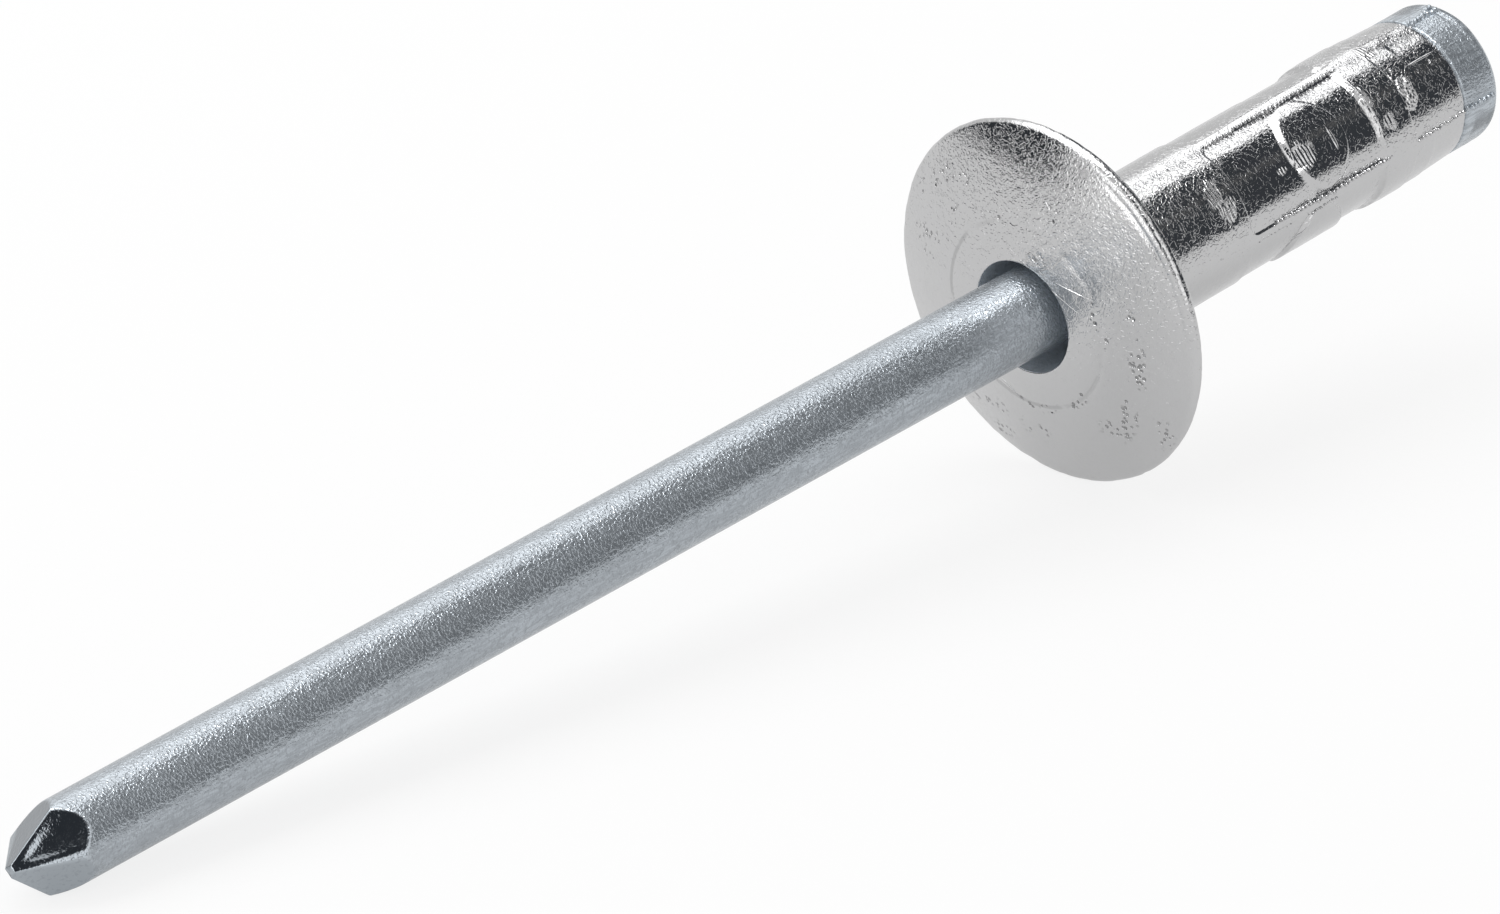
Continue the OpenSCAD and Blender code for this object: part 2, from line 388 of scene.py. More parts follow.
def aluminium(settings):
    """Bright cold-headed aluminium: grain, pits, scuffs and the marks that the photo shows."""
    material, tree = metal_material("pitted_aluminium")
    where = along_axis(tree, AXIS, SEAT)
    far = tree.vector("LENGTH", tree.vector("MULTIPLY", where, (0.0, 1.0, 1.0)))
    bore = 1 - tree.step(far, 1.225 * MM, 1.245 * MM)

    grain = tree.noise(where, 0.075, detail=2.5, rough=0.62, distortion=0.9)
    squiggle = tree.step(tree.noise(where, 0.13, detail=1.0, distortion=1.6), 0.44, 0.6)
    calm = 1 - tree.painted("pressed") * 0.35
    height = (grain * 0.0046 + squiggle * 0.0034) * calm

    roll = tree.noise(where, 0.45, detail=2.0)
    tiny = 1 - tree.step(tree.cells(where, 0.12), 0.24, 0.44)
    pit = tiny * tree.painted("pitted") * tree.step(roll, 0.24, 0.4)
    height = height - pit * 0.034

    # the heading punch's ring, broken, and scuffs around the mouth
    ring = tree.painted("ringed") * tree.step(far, 1.99 * MM, 2.03 * MM)
    ring = ring * (1 - tree.step(far, 2.08 * MM, 2.12 * MM))
    rough_skin = tree.noise(where, 0.11, detail=3.0, rough=0.7, distortion=1.0)
    height = height - ring * 0.007 + tree.painted("scuffed") * rough_skin * 0.024

    # chatter of the dies, crystals and a few scratches
    ripple = tree.node(
        "ShaderNodeTexWave",
        {"wave_type": "BANDS", "bands_direction": "X", "wave_profile": "SIN"},
        {"Vector": where, "Scale": 0.314 / (0.085 * MM), "Distortion": 3.0, "Detail": 1.0,
         "Detail Scale": 0.6},
    )
    height = height + tree.painted("chatter") * ripple * 0.026
    height = height + tree.painted("crust") * tree.cells(where, 0.085) * 0.045
    line = tree.largest([
        tree.on_tube(where, 7.08, 145.5, 0.035, 0.21, 0, 0.5),
        tree.on_tube(where, 10.28, 127.0, 0.36, 0.018, 0, 0.5),
        tree.on_tube(where, 6.9, 174.5, 0.26, 0.012, 16, 0.6),
        tree.on_tube(where, 5.72, 205.5, 0.36, 0.014, 40, 0.6),
        tree.on_face(where, 0.6, 1.03, 0.88, 0.012, -30, 0.6),
        tree.on_face(where, 1.4, 0.95, 0.36, 0.010, -14, 0.6),
        tree.on_face(where, -0.6, -1.85, 0.4, 0.016, -35, 0.6),
    ])
    height = height + line * 0.016

    base = tree.mix_colour(pit * 0.8, rgba(settings.metal), rgba(settings.metal, 0.45))
    base = tree.mix_colour(ring * 0.4, base, rgba(settings.metal, 0.5))
    # painted light: the bore's shaded wall is painted pale and bluish, and made partly diffuse and
    # rougher, so that it looks lit
    base = tree.mix_colour(bore, base, (0.78, 0.84, 0.9, 1.0))
    rough = 0.06 + tree.step(roll, 0.4, 0.7) * 0.035 + pit * 0.2 + bore * 0.3
    finish_metal(tree, base, rough, 1 - bore * 0.7, height)
    return material


def zinc(settings, head_at):
    """Blue-passivated zinc on drawn wire, speckled along the wire and bright on the point."""
    material, tree = metal_material("passivated_zinc")
    where = along_axis(tree, WIRE_AXIS, CROSS)
    long = along_axis(tree, WIRE_AXIS, CROSS, stretch=2.4)
    longer = along_axis(tree, WIRE_AXIS, CROSS, stretch=9.0)
    x = tree.node("ShaderNodeSeparateXYZ", None, {0: where})
    point = tree.painted("facet")
    head = tree.step(x, (head_at - 0.1) * MM, head_at * MM)
    grain = tree.noise(long, 0.06, detail=3.0, rough=0.7, distortion=0.5)
    streak = tree.noise(longer, 0.09, detail=2.0, rough=0.6)
    fleck = tree.step(tree.noise(where, 0.06, detail=1.0), 0.42, 0.68)
    swell = tree.noise(long, 0.3, detail=2.0)
    height = grain * 0.008 + streak * 0.003 + swell * 0.002 + fleck * 0.0054
    height = height * (1 - point * 0.8)
    cloud = tree.noise(long, 0.9, detail=3.0)
    speck = tree.step(tree.noise(where, 0.11, detail=2.5, rough=0.7), 0.53, 0.59)
    pale = tree.step(cloud, 0.3, 0.7)
    base = tree.mix_colour(pale, rgba(settings.plating, 0.93), rgba(settings.plating, 1.08))
    base = tree.mix_colour(speck * 0.5, base, rgba(settings.plating, 0.45))
    base = tree.mix_colour(head, base, rgba(settings.plating, 1.12))
    fine = tree.step(tree.noise(longer, 0.05, detail=2.5, rough=0.65), 0.4, 0.6)
    base = tree.mix_colour((fine + point).math("MINIMUM", 1.0), rgba(settings.plating, 0.8), base)
    base = tree.mix_colour(point * (1 - speck * 0.6), base, rgba(settings.plating, 0.85))
    # painted shade: the head's dark bands and the upper facet are darkened, standing in for dark
    # reflections
    base = tree.mix_colour(tree.painted("dull"), base, rgba(settings.plating, 0.55))
    rough = 0.10 + pale * 0.03 + speck * 0.06 - point * 0.03 + head * 0.06
    finish_metal(tree, base, rough, 0.62 + point * 0.38 - head * 0.06, height)
    return material


# ---------------------------------------------------------------- mesh helpers

def stitch(low, high):
    """Faces between two closed rows of point numbers, of which one may have twice the points."""
    if len(low) == len(high):
        return list(zip(low, np.roll(low, -1), np.roll(high, -1), high))
    if len(low) == 2 * len(high):
        a, b, c = low[::2], low[1::2], np.roll(low[::2], -1)
        d, e = high, np.roll(high, -1)
        return [*zip(a, b, d), *zip(b, e, d), *zip(b, c, e)]
    a, b = low, np.roll(low, -1)
    d, e, f = high[::2], high[1::2], np.roll(high[::2], -1)
    return [*zip(a, e, d), *zip(a, b, e), *zip(b, f, e)]


def closed_mesh(name, blocks, wrap, material, masks=None):
    """A closed skin over blocks of rings. It joins end to end, or closes on a middle point.

    Each mask is a function of the points that the material reads as an attribute.
    """
    points = [ring for block in blocks for ring in block]
    starts = np.cumsum([0] + [len(ring) for ring in points])
    rows = [np.arange(first, first + len(ring)) for first, ring in zip(starts, points)]
    faces = []
    for low, high in zip(rows, rows[1:] + rows[:1] if wrap else rows[1:]):
        faces += stitch(low, high)
    if not wrap:
        for row, ring, flip in ((rows[0], points[0], True), (rows[-1], points[-1], False)):
            middle = sum(len(p) for p in points)
            points.append(ring.mean(0, keepdims=True))
            ends = (np.roll(row, -1), row) if flip else (row, np.roll(row, -1))
            faces += [(a, b, middle) for a, b in zip(*ends)]
    mesh = bpy.data.meshes.new(name)
    faces = [tuple(int(i) for i in face) for face in faces]
    points = np.concatenate(points)
    mesh.from_pydata(points * MM, [], faces)
    for mask, values in (masks(points) if masks else {}).items():
        mesh.attributes.new(mask, "FLOAT", "POINT").data.foreach_set("value", values)
    mesh.validate()
    if signed_volume(mesh) < 0:
        mesh.flip_normals()
    mesh.shade_smooth()
    mesh.materials.append(material)
    return link_piece(name, mesh)


def link_piece(name, mesh):
    piece = bpy.data.objects.new(name, mesh)
    bpy.context.scene.collection.objects.link(piece)
    return piece


def signed_volume(mesh):
    mesh.calc_loop_triangles()
    tri = np.empty(len(mesh.loop_triangles) * 3, np.int32)
    mesh.loop_triangles.foreach_get("vertices", tri)
    co = np.empty(len(mesh.vertices) * 3, np.float32)
    mesh.vertices.foreach_get("co", co)
    a, b, c = co.reshape(-1, 3)[tri.reshape(-1, 3)].astype(float).transpose(1, 0, 2)
    return float((a * np.cross(b, c)).sum()) / 6.0


def smooth(value):
    value = np.clip(value, 0.0, 1.0)
    return value * value * (3.0 - 2.0 * value)


def inside(distance, width):
    """One where a signed distance is negative, nothing outside, smooth over width."""
    return smooth(0.5 - distance / width)


def rounded_box(x, y, low, high, half, corner):
    """Signed distance to a rectangle with rounded corners."""
    dx = np.abs(x - (low + high) / 2) - (high - low) / 2 + corner
    dy = np.abs(y) - half + corner
    outer = np.hypot(np.maximum(dx, 0), np.maximum(dy, 0))
    return outer + np.minimum(np.maximum(dx, dy), 0) - corner


def waves(points, size_mm, seed, count=28):
    """A smooth random field over points, of unit strength, with bumps about size_mm across."""
    rng = np.random.default_rng(seed)
    direction = rng.normal(size=(count, 3))
    direction /= np.linalg.norm(direction, axis=1, keepdims=True)
    pitch = rng.uniform(0.7, 1.6, count) * math.pi / size_mm
    phase = rng.uniform(0, 2 * math.pi, count)
    field = np.zeros(points.shape[:-1])
    for d, k, p in zip(direction, pitch, phase):
        field += np.cos(points @ (d * k) + p)
    return field * math.sqrt(2.0 / count)


def steps(*stops):
    """Numbers through (value, spacing) stops: each stretch is filled at its own spacing."""
    out = [stops[0][0]]
    for (start, _), (end, spacing) in zip(stops, stops[1:]):
        count = max(1, round(abs(end - start) / spacing))
        out += [start + (end - start) * (i + 1) / count for i in range(count)]
    return np.array(out)


# ---------------------------------------------------------------- rivet body

# One row for each die: its turn, then where along the tube its first print begins, its pad
# begins and ends, the print ends, and the second print begins, and how proud and how clear of
# the parting lines its pad is. The dies sit unevenly.
DIES = (
    (140.2, 4.18, 5.80, 7.47, 8.34, 9.23, 1.0, 0.07),
    (49.6, 4.22, 5.66, 8.90, 8.30, 9.38, -0.25, -0.2),
    (229.6, 4.20, 5.44, 7.22, 8.34, 9.26, 0.9, -0.2),
    (319.8, 4.17, 5.70, 7.42, 8.32, 9.30, 0.8, -0.2),
)
SECOND_STEP = 9.84


def off_centre(turn, centre):
    """Angle from a die's middle, in degrees from -180 to 180."""
    return (np.degrees(turn) - centre + 180.0) % 360.0 - 180.0


def tube_radius(s, x, turn):
    """Radius of the crimped tube at distance x from the seat."""
    plain_r, collar, waist, lead = s.shank_d / 2, s.collar_d / 2, s.waist_d / 2, s.lead_d / 2
    half = s.die_w / 2
    plain = np.interp(
        x, [5.15, 5.15 + s.rise_len, 9.3, 9.9, 10.3, s.tube_len],
        [plain_r, collar, collar, collar - 0.01, lead, s.end_d / 2],
    )
    radius = plain.copy() + 0 * turn
    for centre, first, pad_from, pad_to, last, second, proud, clear in DIES:
        off = off_centre(turn, centre)
        across = plain_r * np.sin(np.radians(off))
        # the first print: a taper that ends in a ragged shoulder under the collar
        sway = 0.012 * np.sin(across * 9.0 + centre) + 0.008 * np.sin(across * 23.0)
        floor = np.interp(
            x + sway * smooth((x - last + 0.3) / 0.3),
            [first, first + 0.4, min(pad_to, last - 0.3), last - 0.11, last - 0.02, last + 0.025,
             last + 0.4],
            [lead, lead - 0.004, waist, waist, waist + 0.03, waist + 0.066, collar],
        )
        print_1 = inside(rounded_box(x, across, first, last + 0.35, half, s.die_corner), s.step_w)
        left = np.hypot(x - (pad_from + 0.07 + s.pad_arch), across) - s.pad_arch
        right = np.hypot(x - (pad_to - s.pad_arch), across) - s.pad_arch
        pad = inside(left, 0.15 if proud == 1.0 else 0.06) * inside(right, 0.07)
        pad = proud * pad * inside(np.abs(across) - half + clear, 0.05)
        sunk = print_1 * (1.0 - pad) * (x < last + 0.41)
        dressed = plain * (1.0 - sunk) + floor * sunk
        # the second print runs out over the blind end
        print_2 = inside(
            rounded_box(x, across, second, s.tube_len + 1.0, half, s.die_corner), s.step_w
        )
        floor_2 = np.interp(
            x, [second, second + 0.02, SECOND_STEP, SECOND_STEP + 0.05, s.tube_len],
            [collar - 0.012, collar - 0.02, plain_r - 0.004, plain_r - 0.018, s.end_d / 2 - 0.005],
        )
        dressed = dressed * (1.0 - print_2) + np.minimum(floor_2, plain) * print_2
        radius = np.where(np.abs(off) <= 45.0, dressed, radius)
    return radius


# Wedge-shaped knocks that the photo shows: where each begins and ends along the tube, its
# turn and half width, and how deep its blunt end goes.
KNOCKS = (
    (3.40, 3.76, 137.0, 0.26, 0.040),
    (3.60, 3.96, 154.0, 0.26, 0.044),
    (5.92, 6.48, 145.5, 0.22, 0.100),
    (8.50, 8.72, 156.0, 0.13, 0.040),
)


def knocked(s, x, turn):
    """Depth of the knocks at a place on the tube."""
    depth = np.zeros(np.broadcast(x, turn).shape)
    for start, end, centre, half, deep in KNOCKS:
        across = np.radians(off_centre(turn, centre)) * s.shank_d / 2
        lean = x + across * 0.25
        ramp = np.clip((end - lean) / (end - start), 0, 1)
        depth += deep * ramp * smooth((lean - start + 0.02) / 0.05) * inside(np.abs(across) - half, 0.1)
    return depth


def die_turns(s, count):
    """Turns around the tube, close together where the edges of the dies lie."""
    half = math.degrees(math.asin(s.die_w / s.shank_d))
    fine = np.linspace(0, 360, 7201)
    crowd = np.ones_like(fine)
    for centre, *_ in DIES:
        for edge in (centre - half, centre + half):
            crowd += 1.8 * np.exp(-((fine - edge % 360.0) / 2.0) ** 4)
    total = np.concatenate([[0], np.cumsum((crowd[1:] + crowd[:-1]) / 2)])
    even = np.linspace(0, total[-1], count, endpoint=False)
    return np.radians(np.interp(even, total, fine))[None, :]


def dome_height(s, r):
    """Height of the dome over the seat, and the radius at which the round rim begins."""
    rim_r = s.rim_t / 2
    rim_at = s.flange_d / 2 - rim_r
    rise = s.dome_h - rim_r
    dome_r = (rim_at ** 2 + rise ** 2 - rim_r ** 2) / (2 * (rise - rim_r))
    edge = rim_at * dome_r / (dome_r - rim_r)
    return np.sqrt(dome_r ** 2 - r ** 2) - dome_r + s.dome_h, edge, dome_r


def body_blocks(s):
    """Closed loop of rings: tube, then seat, rim, dome, mouth and bore at half the points."""
    turn = die_turns(s, 360)
    x = steps((s.tube_len, 0), (s.tube_len - 0.12, 0.015), (s.tube_len - 0.2, 0.035),
              (10.1, 0.08), (9.7, 0.035), (9.45, 0.05), (9.15, 0.022), (8.75, 0.07),
              (8.45, 0.035), (8.12, 0.018), (7.6, 0.08), (7.3, 0.03), (6.9, 0.04),
              (6.0, 0.045), (5.35, 0.032), (4.4, 0.09), (4.3, 0.03), (4.08, 0.018),
              (3.9, 0.05), (3.35, 0.03), (s.root_fillet, 0.27))[:, None]
    r = tube_radius(s, x, turn) - knocked(s, x, turn)
    lip = np.clip((x - (s.tube_len - 0.12)) / 0.12, 0, 1)
    r = r - 0.045 * (1 - np.sqrt(np.clip(1 - lip ** 2, 0, 1)))
    tube = tube_point(x + 0 * turn, r, turn + 0 * x)
    # fillet, seat, rim, dome and bore as a plain profile of (x, r)
    rim_r = s.rim_t / 2
    rim_at = s.flange_d / 2 - rim_r
    profile = [
        (s.root_fillet * (1 - math.sin(a)), s.shank_d / 2 + s.root_fillet * (1 - math.cos(a)))
        for a in np.radians(steps((15.0, 0), (90.0, 15.0)))
    ]
    profile += [(0.0, r) for r in steps((s.shank_d / 2 + s.root_fillet, 0), (rim_at, 0.25))[1:]]
    _, edge, dome_r = dome_height(s, 0.0)
    lean = math.asin(edge / dome_r)
    for a in np.linspace(0, math.pi - lean, 20)[1:-1]:
        profile.append((-rim_r + rim_r * math.cos(a), rim_at + rim_r * math.sin(a)))
    mouth = s.mouth_d / 2
    for r in steps((edge, 0), (3.7, 0.025), (3.2, 0.05), (2.2, 0.09), (1.9, 0.03), (mouth + 0.05, 0.05)):
        from_ring = (r - s.ring_d / 2) / (s.ring_w / 2)
        groove = s.ring_depth * math.exp(-from_ring ** 2)
        profile.append((-dome_height(s, r)[0] + groove, r))
    top = -dome_height(s, mouth)[0]
    for a in np.radians([25, 50, 75, 90]):
        profile.append((top + 0.04 * (1 - math.cos(a)), mouth + 0.04 * (1 - math.sin(a))))
    profile += [(-0.8, mouth), (-0.4, mouth), (s.mouth_depth, mouth),
                (s.mouth_depth + s.mouth_cone, s.bore_d / 2), (1.8, s.bore_d / 2),
                (4.0, s.bore_d / 2), (7.47, s.bore_d / 2)]
    half = turn[:, ::2]
    px, pr = np.array(profile).T
    cap = tube_point(px[:, None] + 0 * half, pr[:, None] + 0 * half, half + 0 * px[:, None])
    # the bore closes on the leaning mandrel
    px = np.array([7.9, 8.6, 9.4, 10.3, s.tube_len])[:, None] + 0 * half
    lean = math.acos(float(np.clip(AXIS @ WIRE_AXIS, -1, 1)))
    drop = (px - CROSS_AT) * math.tan(lean)
    closing = tube_point(px, 0 * px + 0.93, half + 0 * px, drop)
    return [tube, np.concatenate([cap, closing])]


def add_unevenness(s, points):
    """Moves the outer skin in and out by a few micrometres, and nicks and dents the rim."""
    from_seat = points - SEAT
    along = from_seat @ AXIS
    radial = from_seat - along[..., None] * AXIS
    far = np.linalg.norm(radial, axis=-1, keepdims=True)
    outside = smooth((far - 1.3) / 0.2)
    swell = waves(points, 0.55, 5) * 0.6 + waves(points, 0.22, 6) * 0.4
    on_flange = smooth((far - 1.75) / 0.2)
    push = radial / far * (1 - on_flange) - AXIS * on_flange
    at_rim = smooth((far - 3.84) / 0.1)
    nick = 0.006 + 0.004 * waves(points, 0.16, 7, 60) + 0.004 * waves(points, 0.5, 8)
    moved = points + push * outside * swell[..., None] * s.wave
    # a shallow groove inside the rim, from the right to the top as seen from the front
    bearing_up = np.degrees(np.arctan2(from_seat @ UP, -(from_seat @ SIDE)))
    dent = smooth((bearing_up - 2.0) / 12.0) * smooth((62.0 - bearing_up) / 14.0) * (along < -0.1)
    dent = dent * np.exp(-((far[..., 0] - 3.80) / 0.04) ** 2)
    moved = moved + AXIS * dent[..., None] * 0.022
    return moved - radial / far * at_rim * np.maximum(nick, 0.0015)[..., None]


# Parting lines with teeth: the die, which of its edges, where it starts and ends, and how
# strong its teeth are.
PARTING = (
    (0, -1, 4.46, 8.42, 1.0), (0, 1, 4.86, 8.42, 1.0),
    (0, -1, 9.34, 10.84, 1.0), (0, 1, 9.34, 10.84, 1.0),
    (1, 1, 5.3, 8.3, 0.35), (1, -1, 4.5, 8.4, 1.0), (1, -1, 9.4, 10.8, 1.0),
    (1, 1, 9.5, 10.8, 0.6), (2, -1, 4.4, 5.4, 0.35), (2, -1, 5.9, 6.75, 0.75),
    (2, 1, 4.5, 8.4, 1.0), (2, 1, 9.35, 10.8, 1.0), (3, 1, 4.6, 8.3, 0.6),
    (3, -1, 4.7, 8.3, 0.6), (3, -1, 9.4, 10.8, 0.6),
)


def parting_paths(s):
    """Points of each toothed line on the tube and on the mandrel's head, with their strength."""
    half = math.asin(s.die_w / s.shank_d)
    tube, head = [], []
    for die, edge, start, end, strength in PARTING:
        x = np.arange(start, end, 0.04)
        turn = math.radians(DIES[die][0]) + edge * half + 0.008 * np.sin(x * 3.1 + die)
        r = tube_radius(s, x, turn + edge * 0.05)
        ramp = np.clip((x - start) / 0.5 + 0.75, 0, 1)
        tube.append((tube_point(x, r - 0.002, turn), -edge * strength * ramp))
    for turn, drift in ((180.5, 2.0), (97.0, -9.0), (93.0, 3.0), (10.0, 2.0), (270.0, -3.0)):
        x = np.arange(s.tube_len + 0.06, s.tube_len + 0.86, 0.04)
        turns = np.radians(turn + drift * (x - s.tube_len))
        slant = 1.4 if turn < 120 else -1.4
        head.append((tube_point(x, 0 * x + s.end_d / 2 - 0.002, turns), 0 * x + slant))
    return tube, head


def teeth_tree():
    """Geometry nodes that set small teeth along lines on the tube, pointing outwards."""
    nodes = bpy.data.node_groups.new("parting_teeth", "GeometryNodeTree")
    sockets = nodes.interface
    sockets.new_socket(name="Geometry", in_out="INPUT", socket_type="NodeSocketGeometry")
    for name, kind in (("Pitch", "Float"), ("Size", "Float"), ("Seed", "Int"),
                       ("Axis", "Vector"), ("Origin", "Vector"), ("Material", "Material")):
        sockets.new_socket(name=name, in_out="INPUT", socket_type="NodeSocket" + kind)
    sockets.new_socket(name="Geometry", in_out="OUTPUT", socket_type="NodeSocketGeometry")
    tree = Tree(nodes)
    given = tree.node("NodeGroupInput")
    axis, origin, seed = given.out("Axis"), given.out("Origin"), given.out("Seed")
    size = given.out("Size")

    def vector(operation, *parts):
        return tree.node("ShaderNodeVectorMath", {"operation": operation}, dict(enumerate(parts)))

    def chance(low, high, offset):
        """A random number for each tooth."""
        made = tree.node("FunctionNodeRandomValue", {"data_type": "FLOAT"},
                         {2: low, 3: high, "Seed": seed + offset})
        return made.out(1)

    lines = tree.node("GeometryNodeMeshToCurve", None, {"Mesh": given.out("Geometry")})
    spread = tree.node("GeometryNodeCurveToPoints", {"mode": "LENGTH"},
                       {"Curve": lines, "Length": given.out("Pitch")})
    place = tree.node("GeometryNodeInputPosition")
    from_origin = vector("SUBTRACT", place, origin)
    along = vector("DOT_PRODUCT", from_origin, axis).out("Value")
    outward = vector("SUBTRACT", from_origin,
                     tree.node("ShaderNodeVectorMath", {"operation": "SCALE"},
                               {"Vector": axis, "Scale": along}))
    # how large the teeth are, and by its sign to which side they slant
    strength = tree.node("GeometryNodeInputNamedAttribute", {"data_type": "FLOAT"},
                         {"Name": "strength"})
    upright = tree.node("FunctionNodeAlignRotationToVector", {"axis": "Z"}, {"Vector": outward})
    turned = tree.node("FunctionNodeAlignRotationToVector", {"axis": "X", "pivot_axis": "Z"},
                       {"Rotation": upright, "Vector": axis})
    slant = tree.node("FunctionNodeRotateRotation", {"rotation_space": "LOCAL"},
                      {"Rotation": turned,
                       "Rotate By": tree.node("ShaderNodeCombineXYZ", None,
                                              {"X": chance(-0.3, 0.3, 1), "Y": chance(-0.3, 0.3, 2),
                                               "Z": strength.math("SIGN") * chance(0.4, 1.1, 3)})})
    reach = size * strength.math("ABSOLUTE")
    scale = tree.node("ShaderNodeCombineXYZ", None,
                      {"X": reach * chance(0.55, 0.8, 4), "Y": reach * chance(0.45, 0.7, 5),
                       "Z": reach * chance(0.5, 0.85, 6)})
    tooth = tree.node("GeometryNodeMeshIcoSphere", None, {"Radius": 1.0, "Subdivisions": 2})
    jog = tree.node("ShaderNodeVectorMath", {"operation": "SCALE"},
                    {"Vector": vector("NORMALIZE", vector("CROSS_PRODUCT", outward, axis)),
                     "Scale": size * chance(-0.35, 0.35, 7)})
    shifted = tree.node("GeometryNodeSetPosition", None, {"Geometry": spread, "Offset": jog})
    row = tree.node("GeometryNodeInstanceOnPoints", None,
                    {"Points": shifted, "Instance": tooth, "Rotation": slant, "Scale": scale})
    real = tree.node("GeometryNodeRealizeInstances", None, {"Geometry": row})
    dressed = tree.node("GeometryNodeSetMaterial", None,
                        {"Geometry": real, "Material": given.out("Material")})
    tree.node("NodeGroupOutput", None, {"Geometry": dressed})
    return nodes


def teeth_piece(name, paths, s, seed, material):
    """One mesh with the teeth of all the given lines."""
    guide = bpy.data.meshes.new(name + "_lines")
    points = np.concatenate([path for path, _ in paths]) * MM
    edges, first = [], 0
    for path, _ in paths:
        edges += [(first + i, first + i + 1) for i in range(len(path) - 1)]
        first += len(path)
    guide.from_pydata(points, edges, [])
    strength = guide.attributes.new("strength", "FLOAT", "POINT")
    strength.data.foreach_set("value", np.concatenate([value for _, value in paths]))
    holder = link_piece(name + "_lines", guide)
    modifier = holder.modifiers.new("teeth", "NODES")
    modifier.node_group = bpy.data.node_groups.get("parting_teeth") or teeth_tree()
    values = {"Pitch": s.tooth_pitch * MM, "Size": s.tooth_size * MM, "Seed": seed,
              "Axis": tuple(AXIS), "Origin": tuple(SEAT * MM), "Material": material}
    for socket in modifier.node_group.interface.items_tree:
        if socket.in_out == "INPUT" and socket.name in values:
            modifier[socket.identifier] = values[socket.name]
    shown = holder.evaluated_get(bpy.context.evaluated_depsgraph_get())
    mesh = bpy.data.meshes.new_from_object(shown)
    mesh.name = name
    mesh.shade_smooth()
    if not len(mesh.polygons):
        raise RuntimeError(name + " has no teeth")
    holder.modifiers.remove(modifier)
    bpy.data.objects.remove(holder)
    return link_piece(name, mesh)


# Pitted places on the flange's face: right, up, half sizes and turn, as seen from the front.
PITTED = (
    (-2.75, 0.98, 0.62, 0.13, 10), (-1.9, 1.6, 0.10, 0.26, 0), (-2.45, 2.35, 0.42, 0.22, 35),
    (-3.1, 1.85, 0.12, 0.16, 0), (-1.7, 2.5, 0.2, 0.14, 40), (-2.85, 0.52, 0.2, 0.08, 0),
    (2.78, -0.5, 0.16, 0.62, 0), (2.75, 0.62, 0.13, 0.12, 0), (2.4, -1.45, 0.07, 0.2, 0),
    (2.15, -2.05, 0.46, 0.26, 25), (3.05, -2.15, 0.16, 0.3, 0), (2.1, -0.02, 0.09, 0.24, 0),
    (-1.3, -2.55, 0.3, 0.14, 0), (-0.5, -2.75, 0.12, 0.2, 0), (0.0, -2.72, 0.09, 0.1, 0),
    (-1.4, -3.25, 0.3, 0.16, 0), (-2.05, -2.6, 0.2, 0.1, 0), (0.85, 2.62, 0.1, 0.28, 0),
    (0.55, 1.48, 0.18, 0.12, 0), (1.25, -1.6, 0.3, 0.12, 45), (1.87, 0.55, 0.06, 0.42, 0),
    (0.3, -2.08, 0.25, 0.06, 0), (-0.2, -2.08, 0.3, 0.06, -20), (-0.7, 2.05, 0.4, 0.05, 0),
)
# The same for scuffed places, with their strength.
SCUFFED = (
    (1.35, 1.15, 0.45, 0.26, -30, 1.0), (0.45, 1.42, 0.2, 0.13, 0, 1.0),
    (2.15, 1.62, 0.5, 0.3, 35, 0.6), (0.2, 3.35, 1.5, 0.45, 0, 0.09), (-1.6, 3.1, 0.6, 0.3, 30, 0.2),
    (1.5, 2.6, 0.7, 0.35, -25, 0.3), (-2.5, 2.3, 0.6, 0.3, 40, 0.3),
)
# The heading punch's ring is seen in parts: the middle of each and its half width in degrees.
RING_PARTS = ((165.0, 24.0, 1.0), (207.0, 14.0, 0.5), (258.0, 30.0, 0.9), (322.0, 16.0, 0.5),
              (118.0, 10.0, 0.4))
# Marks on the tube: distance from the seat, turn, half sizes and strength.
CHATTER = (
    (6.18, 146.0, 0.30, 0.22, 0.42), (5.55, 147.5, 0.13, 0.06, 0.6), (8.40, 131.0, 0.09, 0.40, 1.0),
    (8.62, 155.0, 0.17, 0.16, 1.0), (3.58, 137.0, 0.20, 0.26, 0.7), (3.78, 154.0, 0.20, 0.26, 0.7),
    (9.4, 100.0, 0.14, 0.22, 0.5),
)
CRUST = ((9.45, 142.0, 0.19, 0.42, 1.0),)


def body_masks(points):
    """Where the body is pressed, pitted, ringed, scuffed, chattered and crusted."""
    from_seat = points - SEAT
    x, right, up = from_seat @ AXIS, -from_seat @ SIDE, from_seat @ UP
    far = np.hypot(right, up)
    ragged = 0.22 * waves(points, 0.2, 21, 60)
    face = smooth(-x / 0.1)

    def on_face(places):
        best = np.zeros(len(x))
        for r, u, half_r, half_u, turn, *strength in places:
            a = math.radians(turn)
            along = (right - r) * math.cos(a) + (up - u) * math.sin(a)
            over = (up - u) * math.cos(a) - (right - r) * math.sin(a)
            spot = inside(np.hypot(along / half_r, over / half_u) - 1 + ragged, 0.6)
            best = np.maximum(best, spot * (strength[0] if strength else 1.0))
        return best * face

    def on_tube(places):
        turn = np.arctan2(up, -right)
        best = np.zeros(len(x))
        for at, centre, half_x, half_c, strength in places:
            across = np.radians(off_centre(turn, centre)) * far
            gap = np.hypot((x - at) / half_x, across / half_c) - 1 + ragged
            best = np.maximum(best, strength * inside(gap, 0.35))
        return best * smooth(x / 0.5)

    broken = np.zeros(len(x))
    for middle, half, strength in RING_PARTS:
        off = np.abs(off_centre(np.arctan2(up, right), middle)) / half
        broken = np.maximum(broken, strength * inside(off - 1 + ragged, 0.5))
    return {
        "pressed": smooth((x - 4.1) / 0.1) * smooth((8.4 - x) / 0.1),
        "pitted": on_face(PITTED),
        "ringed": broken * face,
        "scuffed": on_face(SCUFFED),
        "chatter": on_tube(CHATTER),
        "crust": on_tube(CRUST),
    }


